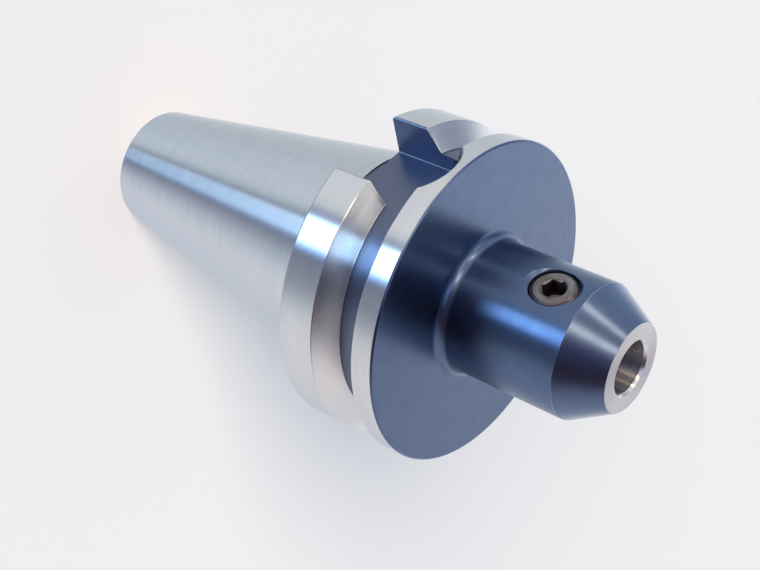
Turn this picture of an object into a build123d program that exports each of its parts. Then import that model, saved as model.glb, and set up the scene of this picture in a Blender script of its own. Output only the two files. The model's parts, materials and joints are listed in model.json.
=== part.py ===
"""Side-lock end mill holder on a size 50 steep taper, with the screw that clamps the cutter's shank.

The holder is one turned, milled and ground piece of steel. The clamp screw is the only other piece.
Millimetres. The origin is the centre of the taper's gauge plane, and +Z runs along the axis to the nose.
"""

from build123d import *
import os
from math import cos, hypot, isclose, radians, sin, tan

os.makedirs("parts", exist_ok=True)

# Steep taper shank
GAUGE_DIAMETER = 69.85
TAPER_RATE = 7 / 24  # diameter gained for each millimetre of length
TAPER_LENGTH = 101.8  # small end to gauge plane
TAPER_LEAD = 0.9  # ground cone carried on past the gauge plane
TAIL_EDGE = 0.5

# Relief neck between the taper and the flange
NECK_DIAMETER = 69.3
FLANGE_REAR = 3.0  # rear face of the flange, from the gauge plane

# Flange with the V-groove for the tool changer's gripper
FLANGE_DIAMETER = 100.0
FLANGE_FRONT = 38.0  # front face of the flange, from the gauge plane
FLANGE_REAR_EDGE = 0.8
FLANGE_FRONT_EDGE = 0.5
GROOVE_CENTRE = 23.2  # from the gauge plane
GROOVE_MOUTH = 15.0
GROOVE_DEPTH = 7.5
GROOVE_ANGLE = 60.0  # between the two flanks
GROOVE_EDGE = 0.25  # edge break between each ring and its flank
GRIND_STEP = 0.25  # ledge left at the root of each ground flank
GRIND_RUNOUT = 0.7  # height of that ledge above the groove's floor

# Two drive slots, milled into the flange from the rear with a round cutter
SLOT_COUNT = 2
SLOT_WIDTH = 25.7
SLOT_FLOOR = 35.4  # flat floor, from the axis
SLOT_END = 34.8  # far end of the slot, from the gauge plane
SLOT_FLOOR_EDGE = 0.5  # sloping strip that the cutter's corner leaves between wall and floor
SLOT_EDGE = 0.75  # between the slot's walls and the outside of the flange
SLOT_DIRECTION = -90.0  # degrees about +Z from +X, shared by the first slot and the clamp screw

# Nose that holds the cutter
NOSE_DIAMETER = 41.3
NOSE_ROOT_RADIUS = 3.0
NOSE_FACE = 88.9  # from the gauge plane
NOSE_FACE_DIAMETER = 26.9
NOSE_CONE_ANGLE = 30.0  # from the axis

# Bore for the cutter's shank
TOOL_DIAMETER = 15.875
TOOL_DEPTH = 50.8
TOOL_MOUTH_EDGE = 0.6

# Passage for coolant from the rear hole to the tool bore
PASSAGE_DIAMETER = 10.0

# Rear hole for the pull stud: a pilot bore, then the tapped hole at its thread's inside diameter
PILOT_DIAMETER = 25.0
PILOT_DEPTH = 11.0
PILOT_MOUTH_EDGE = 0.8
STUD_HOLE_DIAMETER = 20.75
STUD_HOLE_DEPTH = 45.0  # from the small end
DRILL_POINT_ANGLE = 118.0

# Clamp screw, at the outside diameter of its thread
SCREW_DIAMETER = 14.2875
SCREW_LENGTH = 11.1125
SCREW_FROM_NOSE = 23.6  # screw axis to nose face
SCREW_RUNNING_GAP = 0.04  # between the screw and its hole, all round
SCREW_TIP_GAP = 0.3  # between the screw's tip and the wall of the tool bore, at rest
SCREW_TOP_EDGE_WIDTH = 1.0
SCREW_TOP_EDGE_HEIGHT = 0.6
SCREW_TIP_EDGE = 0.9
SCREW_MOUTH_DIAMETER = 16.8  # countersink's rim, level with the crest of the nose
KEY_WIDTH = 6.35  # hexagon socket, across its flats
KEY_DEPTH = 5.5
KEY_MOUTH_DIAMETER = 7.7
COUNTERSINK_ANGLE = 90.0

OVERSHOOT = 1.0  # how far a cutter runs past the face that it opens

tail = -TAPER_LENGTH
outward = Vector(cos(radians(SLOT_DIRECTION)), sin(radians(SLOT_DIRECTION)), 0)
slot_side = Plane((0, 0, 0), x_dir=(0, 0, 1), z_dir=outward)
screw_side = Plane((0, 0, NOSE_FACE - SCREW_FROM_NOSE), x_dir=(0, 0, 1), z_dir=outward)


def turned(*points):
    """Returns a solid turned about the axis from an outline of (radius, height) points."""
    return revolve(make_face(Plane.XZ * Polyline(*points, close=True)), axis=Axis.Z)


def circles(part, radius, height):
    """Returns a part's circular edges of one radius at one height on the axis."""

    def matches(edge):
        return isclose(edge.radius, radius, abs_tol=1e-3) and isclose(edge.center().Z, height, abs_tol=1e-3)

    return part.edges().filter_by(GeomType.CIRCLE).filter_by(matches)


def cone_radius(height):
    """Returns the steep taper's radius at a height."""
    return (GAUGE_DIAMETER + TAPER_RATE * height) / 2


def turned_core():
    """Returns the taper, the neck and the nose as one turned bar, without the flange."""
    neck = NECK_DIAMETER / 2
    nose = NOSE_DIAMETER / 2
    nose_tip = NOSE_FACE_DIAMETER / 2
    cone_start = NOSE_FACE - (nose - nose_tip) / tan(radians(NOSE_CONE_ANGLE))
    core = turned(
        (0, tail),
        (cone_radius(tail), tail),
        (cone_radius(TAPER_LEAD), TAPER_LEAD),
        (neck, TAPER_LEAD),
        (neck, FLANGE_FRONT),
        (nose, FLANGE_FRONT),
        (nose, cone_start),
        (nose_tip, NOSE_FACE),
        (0, NOSE_FACE),
    )
    return chamfer(circles(core, cone_radius(tail), tail), TAIL_EDGE)


def drive_slot():
    """Returns the material that the cutter takes out for the slot on the clamp screw's side."""
    cutter_radius = SLOT_WIDTH / 2
    centre = SLOT_END - cutter_radius
    start = FLANGE_REAR - cutter_radius
    outline = Pos(centre, 0) * Circle(cutter_radius)
    outline += Pos((start + centre) / 2, 0) * Rectangle(centre - start, SLOT_WIDTH)
    floor = slot_side.offset(SLOT_FLOOR)
    milled = extrude(floor * outline, FLANGE_DIAMETER / 2 - SLOT_FLOOR + OVERSHOOT)
    return chamfer(milled.edges().group_by(Axis((0, 0, 0), outward))[0], SLOT_FLOOR_EDGE)


def slot_rims(disc):
    """Returns the edges where the drive slots' walls meet the outside of the flange."""

    def on_outside(point):
        return isclose(hypot(point.X, point.Y), FLANGE_DIAMETER / 2, abs_tol=1e-3)

    def matches(edge):
        middle = edge @ 0.5
        beside_slot = abs(middle.cross(outward).Z) < SLOT_WIDTH / 2 + OVERSHOOT
        return beside_slot and all(on_outside(edge @ along) for along in (0, 0.5, 1))

    return disc.edges().filter_by(matches)


def gripper_groove():
    """Returns the V-groove's ring of material, with the edge breaks and the ledge of each ground flank."""
    rim = FLANGE_DIAMETER / 2
    floor = rim - GROOVE_DEPTH
    ledge = floor + GRIND_RUNOUT
    slope = tan(radians(GROOVE_ANGLE / 2))
    half_mouth = GROOVE_MOUTH / 2
    half_ledge = half_mouth - (rim - ledge) * slope
    half_floor = half_ledge - GRIND_STEP - GRIND_RUNOUT * slope
    one_side = [
        (floor, half_floor),
        (ledge, half_ledge - GRIND_STEP),
        (ledge, half_ledge),
        (rim - GROOVE_EDGE, half_mouth - GROOVE_EDGE * slope),
        (rim, half_mouth + GROOVE_EDGE),
        (rim + OVERSHOOT, half_mouth + GROOVE_EDGE),
    ]
    rear_side = [(radius, GROOVE_CENTRE - half) for radius, half in one_side]
    front_side = [(radius, GROOVE_CENTRE + half) for radius, half in reversed(one_side)]
    return turned(*rear_side, *front_side)


def flange():
    """Returns the flange with its drive slots, its gripper groove and its edges."""
    rim = FLANGE_DIAMETER / 2
    disc = turned((0, FLANGE_REAR), (rim, FLANGE_REAR), (rim, FLANGE_FRONT), (0, FLANGE_FRONT))
    for step in range(SLOT_COUNT):
        disc -= Rot(0, 0, step * 360 / SLOT_COUNT) * drive_slot()
    disc = chamfer(slot_rims(disc), SLOT_EDGE)
    disc -= gripper_groove()
    disc -= turned((rim - FLANGE_REAR_EDGE, FLANGE_REAR), (rim, FLANGE_REAR + FLANGE_REAR_EDGE),
                   (rim + OVERSHOOT, FLANGE_REAR))
    disc -= turned((rim - FLANGE_FRONT_EDGE, FLANGE_FRONT), (rim, FLANGE_FRONT - FLANGE_FRONT_EDGE),
                   (rim + OVERSHOOT, FLANGE_FRONT))
    return disc


def tool_bore():
    """Returns the blind bore for the cutter's shank, with its mouth's edge and its flat bottom."""
    radius = TOOL_DIAMETER / 2
    bottom = NOSE_FACE - TOOL_DEPTH
    return turned(
        (0, bottom),
        (radius, bottom),
        (radius, NOSE_FACE - TOOL_MOUTH_EDGE),
        (radius + TOOL_MOUTH_EDGE + OVERSHOOT, NOSE_FACE + OVERSHOOT),
        (0, NOSE_FACE + OVERSHOOT),
    )


def rear_hole():
    """Returns the stepped hole for the pull stud, and the passage on to the tool bore."""
    pilot = PILOT_DIAMETER / 2
    thread = STUD_HOLE_DIAMETER / 2
    passage = PASSAGE_DIAMETER / 2
    thread_end = tail + STUD_HOLE_DEPTH
    point = (thread - passage) / tan(radians(DRILL_POINT_ANGLE / 2))
    tool_end = NOSE_FACE - TOOL_DEPTH
    return turned(
        (0, tail - OVERSHOOT),
        (pilot + PILOT_MOUTH_EDGE + OVERSHOOT, tail - OVERSHOOT),
        (pilot, tail + PILOT_MOUTH_EDGE),
        (pilot, tail + PILOT_DEPTH),
        (thread, tail + PILOT_DEPTH),
        (thread, thread_end),
        (passage, thread_end + point),
        (passage, tool_end + OVERSHOOT),
        (0, tool_end + OVERSHOOT),
    )


def screw_hole():
    """Returns the hole from the nose's outside to the tool bore, with its countersink."""
    radius = SCREW_DIAMETER / 2 + SCREW_RUNNING_GAP
    crest = NOSE_DIAMETER / 2
    mouth = SCREW_MOUTH_DIAMETER / 2
    slope = tan(radians(COUNTERSINK_ANGLE / 2))
    return screw_side * turned(
        (0, 0),
        (radius, 0),
        (radius, crest - (mouth - radius) / slope),
        (mouth + OVERSHOOT * slope, crest + OVERSHOOT),
        (0, crest + OVERSHOOT),
    )


def holder_body():
    """Returns the finished holder."""
    body = turned_core() + flange()
    body = fillet(circles(body, NOSE_DIAMETER / 2, FLANGE_FRONT), NOSE_ROOT_RADIUS)
    return body - tool_bore() - rear_hole() - screw_hole()


def clamp_screw():
    """Returns the set screw as it lies in the nose, its tip just clear of the tool bore."""
    radius = SCREW_DIAMETER / 2
    tip = TOOL_DIAMETER / 2 + SCREW_TIP_GAP
    top = tip + SCREW_LENGTH
    blank = turned(
        (0, tip),
        (radius - SCREW_TIP_EDGE, tip),
        (radius, tip + SCREW_TIP_EDGE),
        (radius, top - SCREW_TOP_EDGE_HEIGHT),
        (radius - SCREW_TOP_EDGE_WIDTH, top),
        (0, top),
    )
    key = RegularPolygon(KEY_WIDTH / 2, 6, major_radius=False)
    mouth = KEY_MOUTH_DIAMETER / 2
    slope = tan(radians(COUNTERSINK_ANGLE / 2))
    key_end = top - KEY_DEPTH
    drill = KEY_WIDTH / 2
    drill_point = turned((0, key_end - drill / tan(radians(DRILL_POINT_ANGLE / 2))), (drill, key_end), (0, key_end))
    mouth_edge = turned((0, top - mouth / slope), (mouth, top), (0, top))
    blank -= Pos(0, 0, key_end) * extrude(key, KEY_DEPTH)
    return screw_side * (blank - drill_point - mouth_edge)


nodes = {"holder_body": holder_body(), "clamp_screw": clamp_screw()}
for name, shape in nodes.items():
    export_step(shape, f"parts/{name}.step")
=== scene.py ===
"""An end mill holder on a steep taper, stood on its small end as it is kept on a shelf.

The holder and its screw are shaped in millimetres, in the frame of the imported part, and then scaled to
metres. Radius and height are measured from the holder's axis and from the taper's gauge plane.
"""

import json
import math

import bmesh
import bpy
from mathutils import Matrix, Vector

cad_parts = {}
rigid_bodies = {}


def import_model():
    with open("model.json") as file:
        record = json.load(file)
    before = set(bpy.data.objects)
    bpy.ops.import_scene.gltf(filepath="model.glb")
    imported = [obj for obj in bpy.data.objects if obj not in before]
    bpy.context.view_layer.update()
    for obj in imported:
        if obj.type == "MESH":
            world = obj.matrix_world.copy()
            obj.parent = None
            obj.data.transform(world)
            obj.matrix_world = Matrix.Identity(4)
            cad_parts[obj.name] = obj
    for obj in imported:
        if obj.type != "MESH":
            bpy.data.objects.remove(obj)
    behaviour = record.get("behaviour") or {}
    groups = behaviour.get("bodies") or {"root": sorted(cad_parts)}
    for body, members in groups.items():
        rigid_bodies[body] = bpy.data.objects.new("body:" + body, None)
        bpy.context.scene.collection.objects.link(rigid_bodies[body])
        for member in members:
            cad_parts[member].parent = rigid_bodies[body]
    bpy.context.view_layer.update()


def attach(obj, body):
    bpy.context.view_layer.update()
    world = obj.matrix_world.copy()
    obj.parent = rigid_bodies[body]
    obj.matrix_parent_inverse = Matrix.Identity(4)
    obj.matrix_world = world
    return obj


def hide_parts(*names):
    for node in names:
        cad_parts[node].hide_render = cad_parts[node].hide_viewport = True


for thing in list(bpy.data.objects):
    bpy.data.objects.remove(thing)
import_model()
scene = bpy.context.scene


# Holder blank
# The holder is one piece of alloy steel. A lathe turns the taper, the neck, the flange and the nose,
# and drills the way through it: pilot and tapping hole at the small end, coolant passage, tool bore.

TURNS = 288  # facets round the axis
GAUGE = 34.925  # the taper's radius at height 0
TAPER = 7 / 48  # radius gained for each millimetre of height
TAIL = -101.8
TAIL_EDGE = 0.5
LEAD = 0.9  # the height at which the ground cone ends
NECK = 34.65
RIM = 50.0
FLANGE_REAR = 3.0
FLANGE_FRONT = 38.0
REAR_EDGE = 0.8
FRONT_EDGE = 0.5
NOSE = 20.65
NOSE_ROOT = 3.0
NOSE_CORNER = 76.49
NOSE_FACE = 13.45
NOSE_END = 88.9
TOOL_BORE = 7.9375
TOOL_MOUTH = 0.6  # width of the edge at the tool bore's mouth
TOOL_MOUTH_DEPTH = 0.9
BORE_FLOOR = 38.1
PASSAGE = 5.0
THREAD_BORE = 10.375
THREAD_END = -56.8
THREAD_MOUTH = 12.2
THREAD_MOUTH_DEPTH = 0.9
DRILL_POINT = 59  # degrees from the axis
PILOT = 12.5
PILOT_END = -90.8
PILOT_EDGE = 0.8


def taper_at(height):
    """Returns the taper's radius at a height."""
    return GAUGE + TAPER * height


def wire(points):
    """Returns a bmesh with an outline of (radius, height) points, open where it begins on the axis."""
    bm = bmesh.new()
    verts = [bm.verts.new((radius, 0, height)) for radius, height in points]
    after = verts[1:] + ([] if points[0][0] == 0 else verts[:1])
    for here, there in zip(verts, after):
        bm.edges.new((here, there))
    return bm


def turn(bm, steps=TURNS):
    """Spins an outline once round Z, and points the faces outwards."""
    bmesh.ops.spin(
        bm, geom=bm.verts[:] + bm.edges[:], cent=(0, 0, 0), axis=(0, 0, 1),
        angle=math.tau, steps=steps, use_merge=True,
    )
    bmesh.ops.remove_doubles(bm, verts=bm.verts, dist=1e-4)
    bmesh.ops.recalc_face_normals(bm, faces=bm.faces)
    return bm


def as_object(bm, name):
    """Makes a bmesh an object of the scene."""
    mesh = bpy.data.meshes.new(name)
    bm.to_mesh(mesh)
    bm.free()
    made = bpy.data.objects.new(name, mesh)
    scene.collection.objects.link(made)
    return made


def round_corner(bm, radius, height, size, segments):
    """Rounds the corner of an outline that lies at a radius and a height."""
    corner = [v for v in bm.verts if math.hypot(v.co.x - radius, v.co.z - height) < 0.01]
    bmesh.ops.bevel(
        bm, geom=corner, offset=size, segments=segments, affect="VERTICES", profile=0.5, material=-1,
    )


point_length = (THREAD_BORE - PASSAGE) / math.tan(math.radians(DRILL_POINT))
blank = wire([
    (PILOT + PILOT_EDGE, TAIL), (taper_at(TAIL) - TAIL_EDGE, TAIL),
    (taper_at(TAIL + TAIL_EDGE), TAIL + TAIL_EDGE), (taper_at(LEAD), LEAD), (NECK, LEAD),
    (NECK, FLANGE_REAR), (RIM - REAR_EDGE, FLANGE_REAR), (RIM, FLANGE_REAR + REAR_EDGE),
    (RIM, FLANGE_FRONT - FRONT_EDGE), (RIM - FRONT_EDGE, FLANGE_FRONT), (NOSE, FLANGE_FRONT),
    (NOSE, NOSE_CORNER), (NOSE_FACE, NOSE_END), (TOOL_BORE + TOOL_MOUTH, NOSE_END),
    (TOOL_BORE, NOSE_END - TOOL_MOUTH_DEPTH), (TOOL_BORE, BORE_FLOOR), (PASSAGE, BORE_FLOOR),
    (PASSAGE, THREAD_END + point_length), (THREAD_BORE, THREAD_END),
    (THREAD_BORE, PILOT_END + THREAD_MOUTH_DEPTH), (THREAD_MOUTH, PILOT_END), (PILOT, PILOT_END),
    (PILOT, TAIL + PILOT_EDGE),
])
round_corner(blank, NOSE, FLANGE_FRONT, NOSE_ROOT, 14)
round_corner(blank, NOSE, NOSE_CORNER, 0.2, 2)
holder = as_object(turn(blank), "holder")


# Drive slots
# Two slots for the spindle's keys are milled in from the rear of the flange with a round cutter, and
# the edges that they leave on the outside of the flange are chamfered by hand.

SLOT_WIDTH = 25.7
SLOT_END = 34.8
SLOT_FLOOR = 35.4
SLOT_CORNER = 0.5  # what the cutter's own corner leaves between wall and floor
SLOT_CHAMFER = 0.6
CLEAR = 0.1  # a margin, to cut just past a surface or to pick what lies close to one
OVERSHOOT = 3.0  # how far a cutting shape runs past the steel


def cut(piece, tool, operation="DIFFERENCE"):
    """Takes one solid out of another, and removes the tool."""
    step = piece.modifiers.new("cut", "BOOLEAN")
    step.operation = operation
    step.solver = "EXACT"
    step.object = tool
    mesh = bpy.data.meshes.new_from_object(piece.evaluated_get(bpy.context.evaluated_depsgraph_get()))
    piece.modifiers.clear()
    piece.data = mesh
    bpy.data.objects.remove(tool)


def slot_cutter(side):
    """Makes the material that goes for one slot and its chamfer, on one side, -1 or 1 along Y."""
    bm = bmesh.new()
    half = SLOT_WIDTH / 2
    centre = SLOT_END - half
    start = FLANGE_REAR - OVERSHOOT
    left, right, corner = (bm.verts.new((x, side * SLOT_FLOOR, z)) for x, z in
                           ((-half, start), (half, start), (half, centre)))
    bm.edges.new((left, right))
    bm.edges.new((right, corner))
    arc = bmesh.ops.spin(bm, geom=[corner], cent=(0, 0, centre), axis=(0, -1, 0), angle=math.pi, steps=48)
    bm.edges.new((next(v for v in arc["geom_last"] if isinstance(v, bmesh.types.BMVert)), left))
    floor = bm.edges[:]
    bmesh.ops.contextual_create(bm, geom=floor)

    def raise_loop(loop, spread, height):
        """Extrudes a loop of edges, spreads it by a distance, and lifts it to a height over each x."""
        grown = bmesh.ops.extrude_edge_only(bm, edges=loop)["geom"]
        verts = {v for v in grown if isinstance(v, bmesh.types.BMVert)}
        for v in verts:
            v.co += spread * Vector((v.co.x, 0, max(v.co.z - centre, 0))).normalized()
            v.co.y = side * height(v.co.x)
        return [e for e in bm.edges if set(e.verts) <= verts]

    loop = raise_loop(floor, 0, lambda x: math.sqrt(RIM**2 - x**2) - SLOT_CHAMFER)
    loop = raise_loop(loop, SLOT_CHAMFER + CLEAR, lambda x: math.sqrt(RIM**2 - x**2) + CLEAR)
    loop = raise_loop(loop, 0, lambda x: RIM + OVERSHOOT)
    bmesh.ops.contextual_create(bm, geom=loop)
    below_walls = [e for e in floor if max(v.co.z for v in e.verts) > start + 1]
    bmesh.ops.bevel(
        bm, geom=below_walls, offset=SLOT_CORNER, segments=5, affect="EDGES", profile=0.5, material=-1,
    )
    bmesh.ops.triangulate(bm, faces=[f for f in bm.faces if len(f.verts) == 4])
    bmesh.ops.recalc_face_normals(bm, faces=bm.faces)
    return as_object(bm, "slot_cutter")


for side in (-1, 1):
    cut(holder, slot_cutter(side))


# Gripper groove
# The tool changer's gripper holds the flange by a 60 degree groove. Its flanks are ground after the
# steel is blackened, and the wheel leaves a small ledge at the root of each flank.

GROOVE_CENTRE = 23.2
GROOVE_FLOOR = 42.5
GROOVE_HALF = 2.92  # half the groove's width at its floor
GROOVE_MOUTH = 7.62  # half its width at the rim
GROOVE_EDGE = 0.15
LEDGE_RADIUS = 42.85
LEDGE = 0.25
slope = math.tan(math.radians(30))

ledge_foot = GROOVE_HALF + (LEDGE_RADIUS - GROOVE_FLOOR) * slope
flank_top = ledge_foot + LEDGE + (RIM - GROOVE_EDGE - LEDGE_RADIUS) * slope
groove_side = [
    (GROOVE_FLOOR, GROOVE_HALF), (LEDGE_RADIUS, ledge_foot), (LEDGE_RADIUS, ledge_foot + LEDGE),
    (RIM - GROOVE_EDGE, flank_top), (RIM, GROOVE_MOUTH), (RIM + OVERSHOOT, GROOVE_MOUTH),
]
rear = [(radius, GROOVE_CENTRE - half) for radius, half in groove_side]
front = [(radius, GROOVE_CENTRE + half) for radius, half in reversed(groove_side)]
cut(holder, as_object(turn(wire(rear + front)), "groove_cutter"))


# Screw hole
# One hole for the clamp screw is drilled and tapped through the side of the nose, square to the axis,
# and countersunk. Its own thread isn't drawn, because the screw hides it.

SCREW_HEIGHT = 65.3
SCREW_HOLE = 7.184
COUNTERSINK = 8.4
DRILL_START = 3.0  # inside the tool bore
to_screw = Matrix.Translation((0, 0, SCREW_HEIGHT)) @ Matrix.Rotation(math.radians(90), 4, "X")

drill = turn(wire([
    (0, DRILL_START), (SCREW_HOLE, DRILL_START), (SCREW_HOLE, NOSE - COUNTERSINK + SCREW_HOLE),
    (COUNTERSINK + OVERSHOOT, NOSE + OVERSHOOT), (0, NOSE + OVERSHOOT),
]), 96)
drill.transform(to_screw)
cut(holder, as_object(drill, "screw_drill"))


# Pull stud thread
# A tap cuts the coarse thread that the pull stud screws into, behind the pilot bore. Its flanks stand
# at 60 degrees, and its crests and roots are flat.

STUD_THREAD = 12.0
STUD_ROOT = 10.0
STUD_PITCH = 3.0
STUD_THREAD_START = -91.6
STUD_THREAD_END = -62.0
THREAD_STEPS = 72  # facets in one turn of a thread


def thread_outline(root, crest, pitch):
    """Returns one pitch of a 60 degree thread, whose crest is an eighth of the pitch wide."""
    rise = (crest - root) * math.tan(math.radians(30))
    flat = pitch / 8
    return [(root, 0), (crest, rise), (crest, rise + flat), (root, 2 * rise + flat), (root, pitch)]


def helix(profile, pitch, low, high, steps=THREAD_STEPS):
    """Returns a closed bar with a right-hand thread, from one pitch of its outline, cut off square."""
    bm = bmesh.new()
    verts = [bm.verts.new((radius, 0, low - pitch * 1.5 + height)) for radius, height in profile]
    for here, there in zip(verts, verts[1:]):
        bm.edges.new((here, there))
    turns = math.ceil((high - low) / pitch) + 3
    bmesh.ops.spin(
        bm, geom=bm.verts[:] + bm.edges[:], cent=(0, 0, 0), axis=(0, 0, 1), dvec=(0, 0, pitch / steps),
        angle=math.tau * turns, steps=steps * turns,
    )
    bmesh.ops.remove_doubles(bm, verts=bm.verts, dist=1e-3)
    for height, side in ((low, -1), (high, 1)):
        sliced = bmesh.ops.bisect_plane(
            bm, geom=bm.verts[:] + bm.edges[:] + bm.faces[:], plane_co=(0, 0, height),
            plane_no=(0, 0, side), clear_outer=True,
        )["geom_cut"]
        bmesh.ops.contextual_create(bm, geom=[e for e in sliced if isinstance(e, bmesh.types.BMEdge)])
    bmesh.ops.recalc_face_normals(bm, faces=bm.faces)
    return bm


tap_outline = thread_outline(STUD_ROOT, STUD_THREAD, STUD_PITCH)
tap = helix(tap_outline, STUD_PITCH, STUD_THREAD_START, STUD_THREAD_END)
cut(holder, as_object(tap, "tap"))


# Edges and finish of the holder
# Every edge is broken by hand. The whole piece is then blackened, and the surfaces that have to run
# true are bright again: the taper, rings and groove flanks are ground, the nose is faced, the bore reamed.

BLACKENED, GROUND, RUBBED_GLINT, FACED, INNER_PAINTED_LIGHT, REAMED = range(6)  # the finishes, in the order of the slots
BREAK = 0.1  # width of a broken edge
SHARP = 0.6  # radians between two faces, past which their edge is broken
CREASE = 0.35  # radians between two faces, past which their edge looks sharp

bm = bmesh.new()
bm.from_mesh(holder.data)
bmesh.ops.remove_doubles(bm, verts=bm.verts, dist=5e-3)


def in_thread(point):
    """Says whether a point lies in the pull stud's thread."""
    return point.z < THREAD_END + 0.8 and math.hypot(point.x, point.y) < THREAD_MOUTH + CLEAR


def on_ledge(point):
    """Says whether a point lies at the root of one of the groove's flanks."""
    radius = math.hypot(point.x, point.y)
    half = abs(point.z - GROOVE_CENTRE)
    in_reach = GROOVE_HALF - CLEAR < half < ledge_foot + LEDGE + CLEAR
    return in_reach and GROOVE_FLOOR - CLEAR < radius < LEDGE_RADIUS + CLEAR


corners = [
    e for e in bm.edges
    if e.is_manifold and e.calc_face_angle(0) > SHARP
    and not any(in_thread(v.co) for v in e.verts) and not all(on_ledge(v.co) for v in e.verts)
]
breaks = set(bmesh.ops.bevel(
    bm, geom=corners, offset=BREAK, segments=2, affect="EDGES", profile=0.5, material=-1, loop_slide=True,
)["faces"])
for v in bm.verts:  # the corners at the mouth of the screw hole stay clear of the screw's way
    from_screw = Vector((v.co.x, 0, v.co.z - SCREW_HEIGHT))
    if v.co.y < -NOSE / 2 and from_screw.length < SCREW_HOLE:
        v.co += from_screw.normalized() * (SCREW_HOLE - from_screw.length)


def is_ground(face):
    """Says whether a face is one of those that the grinding wheel or the reamer leaves bright."""
    at = face.calc_center_median()
    radius = math.hypot(at.x, at.y)
    outward = Vector((at.x, at.y, 0)) / radius
    if abs(face.normal.dot(outward.cross((0, 0, 1)))) > 0.1:
        return False
    facing = face.normal.dot(outward)
    on_taper = at.z < LEAD - 0.05 and radius > taper_at(TAIL) - TAIL_EDGE and facing > 0.5
    between_edges = FLANGE_REAR + REAR_EDGE < at.z < FLANGE_FRONT - FRONT_EDGE
    on_ring = radius > RIM - CLEAR and between_edges and facing > 0.8
    in_groove = abs(at.z - GROOVE_CENTRE) < GROOVE_MOUTH + CLEAR
    on_flank = radius > LEDGE_RADIUS - 0.01 and in_groove and facing > 0.3
    in_bore = at.z > BORE_FLOOR + CLEAR and radius < TOOL_BORE + TOOL_MOUTH + CLEAR
    return on_taper or on_ring or on_flank or in_bore


def kind(face):
    """Picks the finish of a face: rubbed black with a painted glint at the nose's corner, greyer black with
    painted bounce light inside the flange.
    """
    at = face.calc_center_median()
    radius = math.hypot(at.x, at.y)
    if at.z > NOSE_END - 0.05:
        return FACED
    if is_ground(face):
        return REAMED if radius < TOOL_BORE + CLEAR else GROUND
    # the nose's corner: black worn there, and also lightened into a painted highlight line along the edge
    if abs(at.z - NOSE_CORNER) < 0.25 and radius > NOSE - 0.75:
        return RUBBED_GLINT
    # inside the flange the black is greyer and lighter, which paints in light bounced round the groove and
    # slots
    return INNER_PAINTED_LIGHT if LEAD - CLEAR < at.z < FLANGE_FRONT - 2 and radius > NECK - 0.65 else BLACKENED


for face in bm.faces:
    face.smooth = True
    face.material_index = kind(face)
for face in breaks:
    beside = {f for v in face.verts for f in v.link_faces} - breaks
    if any(f.material_index in (GROUND, FACED) for f in beside):
        face.material_index = GROUND
    # edges beside the nose's corner take its rubbed black with the painted highlight
    elif any(f.material_index == RUBBED_GLINT for f in beside):
        face.material_index = RUBBED_GLINT
    # edges round the screw hole take the lighter inner black, which paints a faint pale rim on them
    elif abs(face.calc_center_median().z - SCREW_HEIGHT) < COUNTERSINK + 0.6:
        face.material_index = INNER_PAINTED_LIGHT
for edge in bm.edges:
    edge.smooth = edge.calc_face_angle(0) < CREASE or not breaks.isdisjoint(edge.link_faces)
bmesh.ops.scale(bm, vec=(0.001, 0.001, 0.001), verts=bm.verts)


def across_marks(tree, axis, centre):
    """Returns a place whose third number changes across the marks that go round an axis."""
    place = tree.nodes.new("ShaderNodeTexCoord")
    moved = tree.nodes.new("ShaderNodeVectorMath")
    moved.operation = "SUBTRACT"
    moved.inputs[1].default_value = centre
    tree.links.new(place.outputs["Object"], moved.inputs[0])
    flat = tree.nodes.new("ShaderNodeVectorMath")
    flat.operation = "MULTIPLY"
    flat.inputs[1].default_value = [0 if letter == axis else 1 for letter in "XYZ"]
    tree.links.new(moved.outputs[0], flat.inputs[0])
    radius = tree.nodes.new("ShaderNodeVectorMath")
    radius.operation = "LENGTH"
    tree.links.new(flat.outputs[0], radius.inputs[0])
    split = tree.nodes.new("ShaderNodeSeparateXYZ")
    tree.links.new(moved.outputs[0], split.inputs[0])
    across = tree.nodes.new("ShaderNodeMath")
    tree.links.new(radius.outputs["Value"], across.inputs[0])
    tree.links.new(split.outputs[axis], across.inputs[1])
    other = [letter for letter in "XYZ" if letter != axis]
    joined = tree.nodes.new("ShaderNodeCombineXYZ")
    tree.links.new(split.outputs[other[0]], joined.inputs["X"])
    tree.links.new(split.outputs[other[1]], joined.inputs["Y"])
    tree.links.new(across.outputs[0], joined.inputs["Z"])
    return joined.outputs[0]


def speckle(tree, place, along, across, detail=3.0):
    """Returns noise that changes so many times a metre along the marks and across them."""
    sized = tree.nodes.new("ShaderNodeVectorMath")
    sized.operation = "MULTIPLY"
    sized.inputs[1].default_value = (along, along, across)
    tree.links.new(place, sized.inputs[0])
    noise = tree.nodes.new("ShaderNodeTexNoise")
    noise.inputs["Scale"].default_value = 1.0
    noise.inputs["Detail"].default_value = detail
    tree.links.new(sized.outputs[0], noise.inputs["Vector"])
    return noise.outputs["Fac"]


def between(tree, value, low, high):
    """Turns noise, which mostly lies from 0.3 to 0.7, into a number between two others."""
    spread = tree.nodes.new("ShaderNodeMapRange")
    spread.inputs["From Min"].default_value = 0.3
    spread.inputs["From Max"].default_value = 0.7
    spread.inputs["To Min"].default_value = low
    spread.inputs["To Max"].default_value = high
    tree.links.new(value, spread.inputs["Value"])
    return spread.outputs[0]


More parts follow.
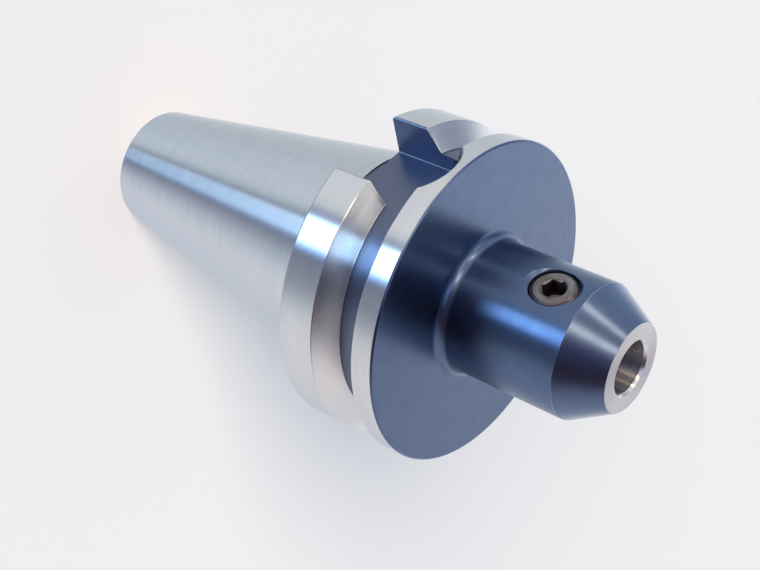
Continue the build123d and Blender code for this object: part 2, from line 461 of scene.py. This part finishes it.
def metal(name, brushed, patches, colours, shine, roughness, grain, depth, axis="Z", centre=(0, 0, 0)):
    """Makes a metal with fine marks round an axis, by a depth in metres, and its shine brushed across them.

    Patches, shine and grain are how often the colour, the roughness and the marks change in a metre, along
    the marks and across them. Patches and shine may end with the detail of their noise.
    """
    made = bpy.data.materials.new(name)
    made.use_nodes = True
    tree = made.node_tree
    shader = tree.nodes["Principled BSDF"]
    shader.inputs["Metallic"].default_value = 1.0
    shader.inputs["Anisotropic"].default_value = brushed
    shader.inputs["Anisotropic Rotation"].default_value = 0.25
    place = across_marks(tree, axis, centre)
    mix = tree.nodes.new("ShaderNodeMix")
    mix.data_type = "RGBA"
    mix.inputs["A"].default_value = (*colours[0], 1)
    mix.inputs["B"].default_value = (*colours[1], 1)
    tree.links.new(between(tree, speckle(tree, place, *patches), 0.0, 1.0), mix.inputs["Factor"])
    tree.links.new(mix.outputs["Result"], shader.inputs["Base Color"])
    tree.links.new(between(tree, speckle(tree, place, *shine), *roughness), shader.inputs["Roughness"])
    bump = tree.nodes.new("ShaderNodeBump")
    bump.inputs["Strength"].default_value = 1.0
    bump.inputs["Distance"].default_value = depth
    tree.links.new(speckle(tree, place, *grain, 2.0), bump.inputs["Height"])
    tree.links.new(bump.outputs[0], shader.inputs["Normal"])
    round_axis = tree.nodes.new("ShaderNodeTangent")
    round_axis.direction_type = "RADIAL"
    round_axis.axis = axis
    tree.links.new(round_axis.outputs[0], shader.inputs["Tangent"])
    return made


finishes = {
    BLACKENED: metal(
        "black_oxide", brushed=0.55, patches=(160, 160, 4.0),
        colours=((0.083, 0.128, 0.231), (0.095, 0.142, 0.250)),
        shine=(250, 450), roughness=(0.27, 0.305), grain=(700, 2600), depth=1.5e-6,
    ),
    GROUND: metal(
        "ground_steel", brushed=1.0, patches=(12, 420),
        colours=((0.588, 0.608, 0.638), (0.612, 0.632, 0.662)),
        shine=(45, 1500), roughness=(0.19, 0.23), grain=(30, 4200), depth=3e-6,
    ),
    # worn black at the nose's corner, made lighter than the oxide so that it also shows a painted highlight
    # line
    RUBBED_GLINT: metal(
        "rubbed_edge_and_glint", brushed=0.0, patches=(220, 220, 4.0),
        colours=((0.11, 0.165, 0.30), (0.17, 0.235, 0.38)),
        shine=(60, 900), roughness=(0.20, 0.27), grain=(25, 3200), depth=1e-6,
    ),
    FACED: metal(
        "faced_steel", brushed=0.85, patches=(12, 2600),
        colours=((0.375, 0.39, 0.43), (0.415, 0.43, 0.47)),
        shine=(12, 2600), roughness=(0.27, 0.33), grain=(20, 5200), depth=4e-6,
    ),
    # a greyer, lighter copy of the oxide for inside the flange, partly painted bounce light
    INNER_PAINTED_LIGHT: metal(
        "inner_oxide_and_painted_light", brushed=0.5, patches=(160, 160, 4.0),
        colours=((0.116, 0.140, 0.212), (0.130, 0.155, 0.229)),
        shine=(250, 450), roughness=(0.28, 0.33), grain=(700, 2600), depth=1.5e-6,
    ),
    REAMED: metal(
        "reamed_steel", brushed=1.0, patches=(30, 600),
        colours=((0.53, 0.54, 0.585), (0.60, 0.605, 0.645)),
        shine=(30, 600), roughness=(0.25, 0.30), grain=(40, 3600), depth=2e-6,
    ),
}
holder.data.materials.clear()
for slot in sorted(finishes):
    holder.data.materials.append(finishes[slot])
bm.to_mesh(holder.data)
bm.free()
holder.modifiers.new("even shading", "WEIGHTED_NORMAL").keep_sharp = True
depsgraph = bpy.context.evaluated_depsgraph_get()
holder.data = bpy.data.meshes.new_from_object(holder.evaluated_get(depsgraph), depsgraph=depsgraph)
holder.modifiers.clear()
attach(holder, "holder")
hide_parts("holder_body")


# Clamp screw
# A set screw of alloy steel with a fine rolled thread clamps the tool's flat. Its socket for a 1/4
# inch key is punched, the whole screw is blackened, and the face at the key's end is turned bright.

SCREW = 7.14375
SCREW_ROOT = 6.278
SCREW_PITCH = 25.4 / 18
SCREW_TIP = 8.2375
SCREW_TOP = 19.35
TIP_FLAT = 6.2
TOP_FLAT = 5.88
BLANK = 7.4  # wider than the thread, whose ends get their chamfers from the blank's
BLANK_END = 0.004  # how far the blank's ends lie inside the thread's
KEY = 6.5
KEY_DEPTH = 5.5
KEY_TURN = 10  # degrees
KEY_DRILL = 3.1
KEY_POINT = 1.8
KEY_MOUTH = 3.82

rod = helix(thread_outline(SCREW_ROOT, SCREW, SCREW_PITCH), SCREW_PITCH, SCREW_TIP, SCREW_TOP)
screw = as_object(rod, "screw")
low_end = SCREW_TIP + BLANK_END
high_end = SCREW_TOP - BLANK_END
blank = turn(wire([
    (0, low_end), (TIP_FLAT, low_end), (BLANK, low_end + BLANK - TIP_FLAT),
    (BLANK, SCREW_TOP - (BLANK - TOP_FLAT) / 2), (TOP_FLAT, high_end), (0, high_end),
]), 144)
cut(screw, as_object(blank, "screw_blank"), "INTERSECT")

punch = bmesh.new()
bmesh.ops.create_circle(punch, cap_ends=True, radius=KEY / 2 / math.cos(math.radians(30)), segments=6)
turned_key = Matrix.Rotation(math.radians(KEY_TURN), 3, "Z")
bmesh.ops.rotate(punch, verts=punch.verts, cent=(0, 0, 0), matrix=turned_key)
socket_floor = SCREW_TOP - KEY_DEPTH
bmesh.ops.translate(punch, verts=punch.verts, vec=(0, 0, socket_floor))
raised = bmesh.ops.extrude_face_region(punch, geom=punch.faces[:])["geom"]
raised = [v for v in raised if isinstance(v, bmesh.types.BMVert)]
bmesh.ops.translate(punch, verts=raised, vec=(0, 0, KEY_DEPTH + OVERSHOOT))
bmesh.ops.recalc_face_normals(punch, faces=punch.faces)
cut(screw, as_object(punch, "key_punch"))
drill_edge = socket_floor + 0.02  # just above the floor, so that the two cuts share no edge
point = wire([
    (0, socket_floor - KEY_POINT), (KEY_DRILL, drill_edge), (KEY_DRILL, drill_edge + 1), (0, drill_edge + 1),
])
cut(screw, as_object(turn(point, 48), "key_drill"))
mouth = wire([
    (0, SCREW_TOP - KEY_MOUTH), (KEY_MOUTH + OVERSHOOT, SCREW_TOP + OVERSHOOT), (0, SCREW_TOP + OVERSHOOT),
])
cut(screw, as_object(turn(mouth, 96), "key_mouth"))

across_nose = {"axis": "Y", "centre": (0, 0, SCREW_HEIGHT / 1000)}
screw_black = metal(
    "screw_black", brushed=0.5, patches=(420, 420, 4.0),
    colours=((0.075, 0.066, 0.092), (0.13, 0.118, 0.15)),
    shine=(420, 420, 4.0), roughness=(0.40, 0.28), grain=(60, 6000), depth=3e-6, **across_nose,
)
screw_face = metal(
    "screw_face", brushed=0.5, patches=(160, 1500),
    colours=((0.105, 0.098, 0.102), (0.27, 0.256, 0.262)),
    shine=(160, 1500), roughness=(0.48, 0.34), grain=(150, 3500), depth=1.4e-5, **across_nose,
)
screw.data.materials.clear()
screw.data.materials.append(screw_black)
screw.data.materials.append(screw_face)
bm = bmesh.new()
bm.from_mesh(screw.data)
bm.transform(to_screw)
bmesh.ops.remove_doubles(bm, verts=bm.verts, dist=2e-3)
bm.normal_update()
for face in bm.faces:
    face.smooth = True
    at = face.calc_center_median()
    near_axis = math.hypot(at.x, at.z - SCREW_HEIGHT) < KEY_MOUTH + 0.01
    in_mouth = near_axis and at.y < -SCREW_TOP + 0.7 and face.normal.y < -0.6
    on_face = face.normal.y < -0.99 and at.y < -SCREW_TOP + 0.05
    face.material_index = int(in_mouth or on_face)  # 1 is the bright turned face
for edge in bm.edges:
    edge.smooth = edge.calc_face_angle(0) < CREASE
bmesh.ops.scale(bm, vec=(0.001, 0.001, 0.001), verts=bm.verts)
bm.to_mesh(screw.data)
bm.free()

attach(screw, "screw")
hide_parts("clamp_screw")


# Floor
# A plain matt board, almost white, lies under the holder and keeps its shadow. The metal shows the
# tent's lower half in place of it, but the hole through the holder shows the board, and stays dark.

FLOOR = 6.0  # radius, in metres
UNDER_HOLE = 0.019  # radius of the board that closes the hole from below, in metres


def seen(tree):
    """Returns 1 for what the camera, metal and glass show, and 0 for what lights other things."""
    ray = tree.nodes.new("ShaderNodeLightPath")
    total = ray.outputs["Is Camera Ray"]
    for name in ("Is Glossy Ray", "Is Transmission Ray"):
        added = tree.nodes.new("ShaderNodeMath")
        added.use_clamp = True
        tree.links.new(total, added.inputs[0])
        tree.links.new(ray.outputs[name], added.inputs[1])
        total = added.outputs[0]
    return total


paint = bpy.data.materials.new("pale_floor")
paint.use_nodes = True
tree = paint.node_tree
tree.nodes.remove(tree.nodes["Principled BSDF"])
matt = tree.nodes.new("ShaderNodeBsdfDiffuse")
matt.inputs["Color"].default_value = (0.80, 0.785, 0.765, 1)
glow = tree.nodes.new("ShaderNodeEmission")
glow.inputs["Color"].default_value = (0.03, 0.04, 0.06, 1)
tree.links.new(seen(tree), glow.inputs["Strength"])
both = tree.nodes.new("ShaderNodeAddShader")
tree.links.new(matt.outputs[0], both.inputs[0])
tree.links.new(glow.outputs[0], both.inputs[1])
tree.links.new(both.outputs[0], tree.nodes["Material Output"].inputs["Surface"])


def board(name, radius, height):
    """Lays a round painted board at a height, all in metres."""
    bm = bmesh.new()
    bmesh.ops.create_circle(bm, cap_ends=True, radius=radius, segments=96)
    bmesh.ops.translate(bm, verts=bm.verts, vec=(0, 0, height))
    laid = as_object(bm, name)
    laid.data.materials.append(paint)
    return laid


floor = board("floor", FLOOR, TAIL / 1000)
floor.visible_glossy = False
board("floor_under_hole", UNDER_HOLE, TAIL / 1000 - 1e-5)


# Light tent
# Bright metal shows what stands round it. A round tent of pale cloth surrounds the holder, with a
# dark side towards the room and a bright strip low down. Only reflections see it.

TENT = 4.0  # radius, in metres


def by_azimuth(tree, angle, stops):
    """Returns a colour that changes round the axis, from (degrees, red, green, blue) stops."""
    ramp = tree.nodes.new("ShaderNodeValToRGB")
    tree.links.new(angle, ramp.inputs["Fac"])
    points = ramp.color_ramp.elements
    for degrees, *colour in stops:
        if degrees in (-180, 180):
            point = points[0 if degrees < 0 else len(points) - 1]
        else:
            point = points.new((degrees + 180) / 360)
        point.color = (*colour, 1)
    return ramp.outputs["Color"]


def blend(tree, height, low, high, first, second):
    """Mixes two colours as the tent rises from one elevation to another."""
    share = tree.nodes.new("ShaderNodeMapRange")
    share.interpolation_type = "SMOOTHSTEP"
    share.inputs["From Min"].default_value = TENT * math.sin(math.radians(low))
    share.inputs["From Max"].default_value = TENT * math.sin(math.radians(high))
    tree.links.new(height, share.inputs["Value"])
    mix = tree.nodes.new("ShaderNodeMix")
    mix.data_type = "RGBA"
    tree.links.new(share.outputs[0], mix.inputs["Factor"])
    tree.links.new(first, mix.inputs["A"])
    tree.links.new(second, mix.inputs["B"])
    return mix.outputs["Result"]


cloth = bpy.data.materials.new("tent_cloth")
cloth.use_nodes = True
tree = cloth.node_tree
tree.nodes.remove(tree.nodes["Principled BSDF"])
glow = tree.nodes.new("ShaderNodeEmission")
tree.links.new(glow.outputs[0], tree.nodes["Material Output"].inputs["Surface"])
cloth.cycles.emission_sampling = "NONE"
place = tree.nodes.new("ShaderNodeTexCoord")
split = tree.nodes.new("ShaderNodeSeparateXYZ")
tree.links.new(place.outputs["Object"], split.inputs[0])
turned = tree.nodes.new("ShaderNodeMath")
turned.operation = "ARCTAN2"
tree.links.new(split.outputs["Y"], turned.inputs[0])
tree.links.new(split.outputs["X"], turned.inputs[1])
spread = tree.nodes.new("ShaderNodeMapRange")
spread.inputs["From Min"].default_value = -math.pi
spread.inputs["From Max"].default_value = math.pi
tree.links.new(turned.outputs[0], spread.inputs["Value"])

below = by_azimuth(tree, spread.outputs[0], [
    (-180, .66, .73, .79), (-140, .58, .69, .78), (-115, .65, .77, .89), (-100, .72, .82, .94),
    (-85, .64, .76, .87), (-76, .52, .65, .74), (-69, .37, .45, .51), (-61, .25, .19, .27),
    (-50, .21, .22, .33), (-43, .20, .25, .34), (-37, .26, .33, .45), (-30, .30, .33, .42),
    (-20, .40, .46, .56), (-8, .66, .76, .85), (5, .80, .90, .98), (20, .90, .94, 1.02),
    (45, .90, .94, 1.03), (90, .70, .80, .91), (115, .66, .78, .92), (135, 1.2, 1.22, 1.25),
    (160, .85, .91, .94), (180, .66, .73, .79),
])
ground_strip = by_azimuth(tree, spread.outputs[0], [
    (-180, .70, .75, .79), (-150, .74, .78, .82), (-130, .78, .81, .84), (-115, .98, .96, .96),
    (-90, 1.02, 1.02, 1.05), (-78, .97, .98, .99), (-72, .86, .93, 1.0), (-70, .72, .84, .93),
    (-67, .34, .44, .60), (-63, .36, .50, .74), (-60, 2.9, 4.5, 6.0), (-44.5, 2.9, 4.5, 6.0),
    (-42, 1.3, 2.1, 3.4), (-39.5, .6, 1.0, 1.8), (-37.3, .24, .36, .6), (-36, .23, .30, .42),
    (-28, .33, .36, .42), (-18, .34, .37, .45), (-8, .53, .57, .63), (2, .90, .94, .97),
    (12, 1.10, 1.08, 1.10), (25, 1.12, 1.09, 1.11), (60, .94, .93, .95), (85, .80, .82, .86),
    (110, .58, .66, .78), (135, 1.08, 1.10, 1.12), (160, .83, .87, .90), (180, .70, .75, .79),
])
low_wall = by_azimuth(tree, spread.outputs[0], [
    (-180, .9, .98, 1.02), (-165, 1.0, 1.05, 1.1), (-130, 1.15, 1.12, 1.1), (-105, 1.0, .95, .92),
    (-75, 1.15, 1.02, .96), (-62, 1.1, .9, .88), (-52, .4, .3, .36), (-40, .22, .17, .24),
    (-15, .17, .12, .16), (0, .2, .1, .09), (12, .2, .12, .13), (22, .4, .34, .36), (32, .68, .6, .6),
    (45, .96, .86, .82), (65, 1.1, 1.03, 1.0), (90, 1.0, .98, 1.0), (120, 1.4, 1.36, 1.33),
    (145, 1.5, 1.5, 1.5), (165, 1.25, 1.3, 1.36), (180, .9, .98, 1.02),
])
wall = by_azimuth(tree, spread.outputs[0], [
    (-180, .26, .31, .46), (-165, .70, .73, .80), (-140, .97, .92, .88), (-105, .92, .8, .76),
    (-75, 1.1, .95, .9), (-62, 1.15, .92, .86), (-52, .36, .28, .35), (-40, .22, .17, .24),
    (-15, .17, .11, .15), (0, .18, .09, .09), (15, .21, .14, .16), (30, .62, .53, .54),
    (45, .96, .86, .83), (65, 1.15, 1.05, 1.02), (90, .90, .88, .90), (112, .95, .92, .92),
    (121, 1.02, .98, .98), (126, 1.0, .96, .95), (134, 1.76, 1.64, 1.55), (146, 1.15, 1.17, 1.2),
    (165, .42, .47, .58), (180, .26, .31, .46),
])
roof = by_azimuth(tree, spread.outputs[0], [
    (-180, .1, .13, .2), (-150, .28, .30, .36), (-125, .5, .54, .58), (-102, .04, .05, .08),
    (-80, .32, .40, .54), (-62, 1.0, 1.12, 1.45), (-35, 1.15, 1.28, 1.65), (-20, .34, .42, .60),
    (-8, .02, .03, .06), (5, .01, .01, .02), (35, .08, .07, .08), (60, .26, .28, .36),
    (100, .26, .30, .50), (150, .09, .13, .28), (180, .1, .13, .24),
])
height = split.outputs["Z"]
colour = blend(tree, height, -47, -40, below, ground_strip)
colour = blend(tree, height, -22, -12, colour, low_wall)
colour = blend(tree, height, 12, 20, colour, wall)
tree.links.new(blend(tree, height, 48, 66, colour, roof), glow.inputs["Color"])

bm = bmesh.new()
bmesh.ops.create_uvsphere(bm, u_segments=96, v_segments=48, radius=TENT)
bmesh.ops.reverse_faces(bm, faces=bm.faces)
tent = as_object(bm, "light_tent")
tent.data.materials.append(cloth)
tent.visible_camera = False
tent.visible_diffuse = False
tent.visible_shadow = False


# Lamps and world
# Four soft lamps hang in the tent for the metal. Daylight through a large window falls on the floor
# alone, from the side of the camera, and plain light from the sky fills its shadow.


def towards(azimuth, elevation):
    """Returns the direction to a point of the tent."""
    turn_by = math.radians(azimuth)
    rise_by = math.radians(elevation)
    level = math.cos(rise_by)
    return Vector((math.cos(turn_by) * level, math.sin(turn_by) * level, math.sin(rise_by)))


def lamp(name, azimuth, elevation, width, height, colour, level):
    """Hangs a soft lamp that only the metal shows. Its sizes are in degrees, and a level of 1 looks white."""
    light = bpy.data.lights.new(name, "AREA")
    light.shape = "RECTANGLE"
    distance = TENT * 0.94
    light.size = 2 * distance * math.tan(math.radians(width / 2))
    light.size_y = 2 * distance * math.tan(math.radians(height / 2))
    light.energy = level * math.pi * light.size * light.size_y
    light.color = colour
    hung = bpy.data.objects.new(name, light)
    hung.location = towards(azimuth, elevation) * distance
    hung.rotation_euler = towards(azimuth, elevation).to_track_quat("Z", "Y").to_euler()
    hung.visible_camera = False
    hung.visible_diffuse = False
    scene.collection.objects.link(hung)


lamp("lamp_left", -117, 29, 8, 20, (1.0, 0.74, 0.46), 7.7)
lamp("lamp_middle", -76.5, 34, 12, 20, (1.0, 0.73, 0.43), 7.0)
lamp("lamp_blue", -157, 49, 16, 9, (0.85, 0.97, 1.0), 1.4)
lamp("lamp_high", -112, 60, 30, 12, (1.0, 0.90, 0.78), 2.2)

window = bpy.data.lights.new("daylight", "SUN")
window.energy = 4.85
window.angle = math.radians(36)
window.color = (1.0, 0.86, 0.74)
daylight = bpy.data.objects.new("daylight", window)
daylight.rotation_euler = towards(-64, 27).to_track_quat("Z", "Y").to_euler()
daylight.visible_camera = False
daylight.visible_glossy = False
scene.collection.objects.link(daylight)

world = bpy.data.worlds.new("studio")
world.use_nodes = True
scene.world = world
tree = world.node_tree
plain = tree.nodes["Background"]
plain.inputs["Color"].default_value = (0.63, 0.80, 1.0, 1)
plain.inputs["Strength"].default_value = 0.56
shown = tree.nodes.new("ShaderNodeBackground")
shown.inputs["Color"].default_value = (0.87, 0.87, 0.89, 1)
shown.inputs["Strength"].default_value = 1.0
mix = tree.nodes.new("ShaderNodeMixShader")
tree.links.new(seen(tree), mix.inputs[0])
tree.links.new(plain.outputs[0], mix.inputs[1])
tree.links.new(shown.outputs[0], mix.inputs[2])
tree.links.new(mix.outputs[0], tree.nodes["World Output"].inputs["Surface"])


# Camera
# The holder stands on its small end. It is seen from above its nose, and the camera is rolled, so that
# in the picture it seems to lie on its side, with the axis falling to the right.

lens = bpy.data.cameras.new("camera")
lens.lens = 63.167
lens.sensor_width = 36
lens.clip_start = 0.01
camera = bpy.data.objects.new("camera", lens)
camera.location = (0.210197, -0.271592, 0.231469)
camera.rotation_euler = [math.radians(a) for a in (-31.3139, -49.4629, 165.2412)]
scene.collection.objects.link(camera)
scene.camera = camera
scene.view_settings.view_transform = "Standard"
